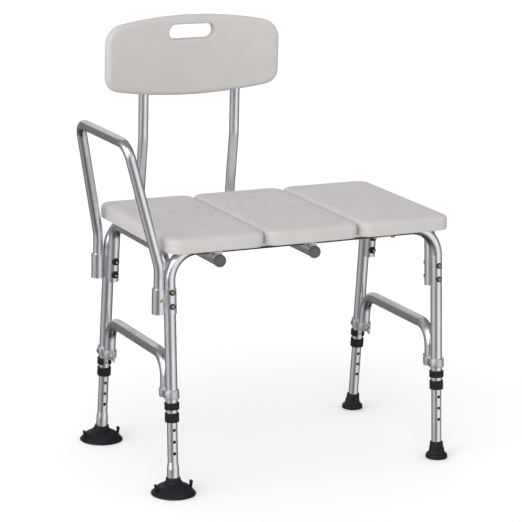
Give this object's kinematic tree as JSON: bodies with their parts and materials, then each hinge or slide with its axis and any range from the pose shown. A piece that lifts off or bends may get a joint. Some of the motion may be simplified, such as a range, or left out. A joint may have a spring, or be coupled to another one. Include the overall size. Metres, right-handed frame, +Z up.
{
  "type": "bath transfer bench",
  "caption": "Bath transfer bench: segmented plastic seat on an aluminium tube frame, lift-out armrest, slide-out backrest, height-adjustable legs with suction cups at one end.",
  "frame": {"origin": "on the floor, under the middle of the box round the whole bench at rest", "axes": "+Z up, +X along the seat to the end with the rubber tips, +Y towards the backrest"},
  "size_m": [0.7594, 0.5096, 0.946],
  "materials": {
    "anodised_tube": "satin",
    "cast_alloy": "satin",
    "moulded_panel": "matte",
    "zinc_steel": "satin",
    "black_rubber": "matte",
    "black_nylon": "satin",
    "grey_plug": "matte",
    "brass_pin": "satin"
  },
  "bodies": {
    "bench frame": {"front_frame_tube": "anodised_tube", "rear_frame_tube": "anodised_tube", "left_side_tube": "anodised_tube", "right_side_tube": "anodised_tube", "left_brace": "anodised_tube", "right_brace": "anodised_tube", "seat_panel_left": "moulded_panel", "seat_panel_middle": "moulded_panel", "seat_panel_right": "moulded_panel", "seat_screws": "zinc_steel", "left_receiver": "anodised_tube", "right_receiver": "anodised_tube", "receiver_saddles": "cast_alloy", "receiver_caps": "grey_plug", "corner_bolts": "zinc_steel", "corner_nut_caps": "black_nylon", "front_arm_bracket": "anodised_tube", "rear_arm_bracket": "anodised_tube", "front_left_brace_collar": "cast_alloy", "rear_left_brace_collar": "cast_alloy", "front_right_brace_collar": "cast_alloy", "rear_right_brace_collar": "cast_alloy", "collar_studs": "zinc_steel", "collar_screws": "zinc_steel", "front_left_height_clip": "black_nylon", "rear_left_height_clip": "black_nylon", "front_right_height_clip": "black_nylon", "rear_right_height_clip": "black_nylon"},
    "front left leg": {"front_left_leg_extension": "anodised_tube", "front_left_suction_foot": "black_rubber"},
    "front left lock ring": {"front_left_lock_ring": "black_nylon"},
    "front left wing nut": {"front_left_wing_nut": "cast_alloy"},
    "front left height button": {"front_left_height_button": "zinc_steel"},
    "rear left leg": {"rear_left_leg_extension": "anodised_tube", "rear_left_suction_foot": "black_rubber"},
    "rear left lock ring": {"rear_left_lock_ring": "black_nylon"},
    "rear left wing nut": {"rear_left_wing_nut": "cast_alloy"},
    "rear left height button": {"rear_left_height_button": "zinc_steel"},
    "front right leg": {"front_right_leg_extension": "anodised_tube", "front_right_rubber_tip": "black_rubber"},
    "front right lock ring": {"front_right_lock_ring": "black_nylon"},
    "front right wing nut": {"front_right_wing_nut": "cast_alloy"},
    "front right height button": {"front_right_height_button": "zinc_steel"},
    "rear right leg": {"rear_right_leg_extension": "anodised_tube", "rear_right_rubber_tip": "black_rubber"},
    "rear right lock ring": {"rear_right_lock_ring": "black_nylon"},
    "rear right wing nut": {"rear_right_wing_nut": "cast_alloy"},
    "rear right height button": {"rear_right_height_button": "zinc_steel"},
    "armrest": {"armrest_tube": "anodised_tube"},
    "front arm button": {"front_arm_button": "brass_pin"},
    "rear arm button": {"rear_arm_button": "brass_pin"},
    "backrest": {"backrest_panel": "moulded_panel", "left_back_tube": "anodised_tube", "right_back_tube": "anodised_tube", "back_screws": "zinc_steel"},
    "left back button": {"left_back_button": "brass_pin"},
    "right back button": {"right_back_button": "brass_pin"}
  },
  "joints": [
    {"name": "front_left_height", "type": "slide", "parent": "bench frame", "child": "front left leg", "axis": [0, 0.0802, 0.9968], "range_m": [-0.0254, 0.0762]},
    {"name": "front_left_lock_turn", "type": "hinge", "parent": "bench frame", "child": "front left lock ring", "pos_m": [-0.28458, -0.19361, 0.16447], "axis": [0, 0.0802, 0.9968], "continuous": true},
    {"name": "front_left_wing_turn", "type": "hinge", "parent": "bench frame", "child": "front left wing nut", "pos_m": [-0.28458, -0.14479, 0.2102], "axis": [0, 0.9968, -0.0802], "continuous": true},
    {"name": "front_left_height_press", "type": "slide", "parent": "bench frame", "child": "front left height button", "axis": [0, -0.9968, 0.0802], "range_m": [0, 0.0022], "stiffness_N_per_m": 400},
    {"name": "rear_left_height", "type": "slide", "parent": "bench frame", "child": "rear left leg", "axis": [0, -0.0802, 0.9968], "range_m": [-0.0254, 0.0762]},
    {"name": "rear_left_lock_turn", "type": "hinge", "parent": "bench frame", "child": "rear left lock ring", "pos_m": [-0.28458, 0.17792, 0.16447], "axis": [0, -0.0802, 0.9968], "continuous": true},
    {"name": "rear_left_wing_turn", "type": "hinge", "parent": "bench frame", "child": "rear left wing nut", "pos_m": [-0.28458, 0.1291, 0.2102], "axis": [0, -0.9968, -0.0802], "continuous": true},
    {"name": "rear_left_height_press", "type": "slide", "parent": "bench frame", "child": "rear left height button", "axis": [0, 0.9968, 0.0802], "range_m": [0, 0.0022], "stiffness_N_per_m": 400},
    {"name": "front_right_height", "type": "slide", "parent": "bench frame", "child": "front right leg", "axis": [0, 0.0802, 0.9968], "range_m": [-0.0254, 0.0762]},
    {"name": "front_right_lock_turn", "type": "hinge", "parent": "bench frame", "child": "front right lock ring", "pos_m": [0.35542, -0.19361, 0.16447], "axis": [0, 0.0802, 0.9968], "continuous": true},
    {"name": "front_right_wing_turn", "type": "hinge", "parent": "bench frame", "child": "front right wing nut", "pos_m": [0.35542, -0.14479, 0.2102], "axis": [0, 0.9968, -0.0802], "continuous": true},
    {"name": "front_right_height_press", "type": "slide", "parent": "bench frame", "child": "front right height button", "axis": [0, -0.9968, 0.0802], "range_m": [0, 0.0022], "stiffness_N_per_m": 400},
    {"name": "rear_right_height", "type": "slide", "parent": "bench frame", "child": "rear right leg", "axis": [0, -0.0802, 0.9968], "range_m": [-0.0254, 0.0762]},
    {"name": "rear_right_lock_turn", "type": "hinge", "parent": "bench frame", "child": "rear right lock ring", "pos_m": [0.35542, 0.17792, 0.16447], "axis": [0, -0.0802, 0.9968], "continuous": true},
    {"name": "rear_right_wing_turn", "type": "hinge", "parent": "bench frame", "child": "rear right wing nut", "pos_m": [0.35542, 0.1291, 0.2102], "axis": [0, -0.9968, -0.0802], "continuous": true},
    {"name": "rear_right_height_press", "type": "slide", "parent": "bench frame", "child": "rear right height button", "axis": [0, 0.9968, 0.0802], "range_m": [0, 0.0022], "stiffness_N_per_m": 400},
    {"name": "armrest_lift", "type": "slide", "parent": "bench frame", "child": "armrest", "axis": [0, 0, 1], "range_m": [0, 0.09]},
    {"name": "front_arm_press", "type": "slide", "parent": "bench frame", "child": "front arm button", "axis": [0, 1, 0], "range_m": [0, 0.0022], "stiffness_N_per_m": 400},
    {"name": "rear_arm_press", "type": "slide", "parent": "bench frame", "child": "rear arm button", "axis": [0, -1, 0], "range_m": [0, 0.0022], "stiffness_N_per_m": 400},
    {"name": "backrest_pull", "type": "slide", "parent": "bench frame", "child": "backrest", "axis": [0, 1, 0], "range_m": [0, 0.18]},
    {"name": "left_back_press", "type": "slide", "parent": "bench frame", "child": "left back button", "axis": [0, 0, 1], "range_m": [0, 0.0022], "stiffness_N_per_m": 400},
    {"name": "right_back_press", "type": "slide", "parent": "bench frame", "child": "right back button", "axis": [0, 0, 1], "range_m": [0, 0.0022], "stiffness_N_per_m": 400}
  ]
}
